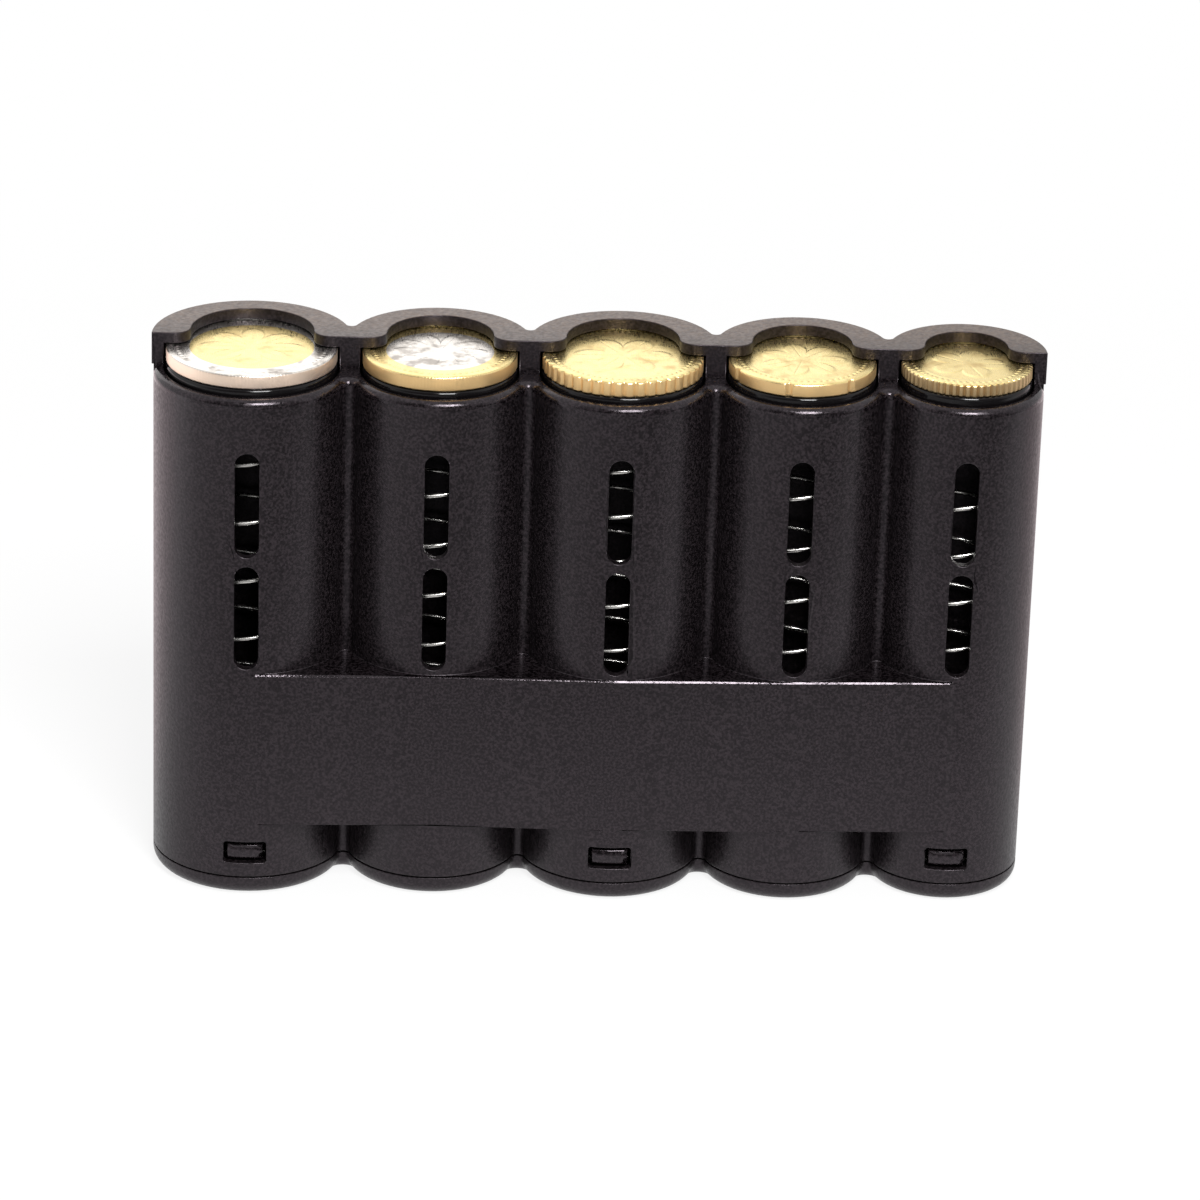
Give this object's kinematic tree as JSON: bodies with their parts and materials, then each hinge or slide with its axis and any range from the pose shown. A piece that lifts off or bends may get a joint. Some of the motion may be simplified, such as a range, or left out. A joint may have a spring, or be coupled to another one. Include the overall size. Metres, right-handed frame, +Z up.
{
  "type": "coin holder",
  "caption": "Upright counter coin holder: spring-loaded tubes in a fluted moulding, whose followers press the coins up under a top plate, to be thumbed out forwards.",
  "frame": {"origin": "middle of the base, on the surface that the holder stands on", "axes": "+Z up along the tubes, +X along the row of tubes from the largest to the smallest, front faces -Y"},
  "size_m": [0.1348, 0.0299, 0.0863],
  "materials": {
    "housing_plastic": "fine-grained satin black moulding",
    "base_plastic": "fine-grained satin black moulding",
    "follower_plastic": "smooth glossy black moulding",
    "spring_steel": "bright drawn wire",
    "gold_metal": "bright minted gold-coloured alloy",
    "silver_metal": "bright minted white metal"
  },
  "bodies": {
    "housing": {"housing": "housing_plastic", "base_cap": "base_plastic", "spring_1": "spring_steel", "spring_2": "spring_steel", "spring_3": "spring_steel", "spring_4": "spring_steel", "spring_5": "spring_steel"},
    "follower_1": {"follower_1": "follower_plastic"},
    "coin_1": {"coin_1_ring": "silver_metal", "coin_1_core": "gold_metal"},
    "follower_2": {"follower_2": "follower_plastic"},
    "coin_2": {"coin_2_ring": "gold_metal", "coin_2_core": "silver_metal"},
    "follower_3": {"follower_3": "follower_plastic"},
    "coin_3": {"coin_3": "gold_metal"},
    "follower_4": {"follower_4": "follower_plastic"},
    "coin_4": {"coin_4": "gold_metal"},
    "follower_5": {"follower_5": "follower_plastic"},
    "coin_5": {"coin_5": "gold_metal"}
  },
  "joints": [
    {"name": "follower_1_slide", "type": "slide", "parent": "housing", "child": "follower_1", "axis": [0, 0, 1], "range_m": [-0.0662, 0], "stiffness_N_per_m": 25, "springref_m": 0.02, "deforming": ["spring_1"]},
    {"name": "coin_1_slide", "type": "slide", "parent": "follower_1", "child": "coin_1", "axis": [0, -1, 0], "range_m": [0, 0.01287]},
    {"name": "follower_2_slide", "type": "slide", "parent": "housing", "child": "follower_2", "axis": [0, 0, 1], "range_m": [-0.0662, 0], "stiffness_N_per_m": 31, "springref_m": 0.02, "deforming": ["spring_2"]},
    {"name": "coin_2_slide", "type": "slide", "parent": "follower_2", "child": "coin_2", "axis": [0, -1, 0], "range_m": [0, 0.01162]},
    {"name": "follower_3_slide", "type": "slide", "parent": "housing", "child": "follower_3", "axis": [0, 0, 1], "range_m": [-0.0662, 0], "stiffness_N_per_m": 24, "springref_m": 0.02, "deforming": ["spring_3"]},
    {"name": "coin_3_slide", "type": "slide", "parent": "follower_3", "child": "coin_3", "axis": [0, -1, 0], "range_m": [0, 0.01213]},
    {"name": "follower_4_slide", "type": "slide", "parent": "housing", "child": "follower_4", "axis": [0, 0, 1], "range_m": [-0.0662, 0], "stiffness_N_per_m": 37, "springref_m": 0.02, "deforming": ["spring_4"]},
    {"name": "coin_4_slide", "type": "slide", "parent": "follower_4", "child": "coin_4", "axis": [0, -1, 0], "range_m": [0, 0.01112]},
    {"name": "follower_5_slide", "type": "slide", "parent": "housing", "child": "follower_5", "axis": [0, 0, 1], "range_m": [-0.0662, 0], "stiffness_N_per_m": 51, "springref_m": 0.02, "deforming": ["spring_5"]},
    {"name": "coin_5_slide", "type": "slide", "parent": "follower_5", "child": "coin_5", "axis": [0, -1, 0], "range_m": [0, 0.00988]}
  ]
}
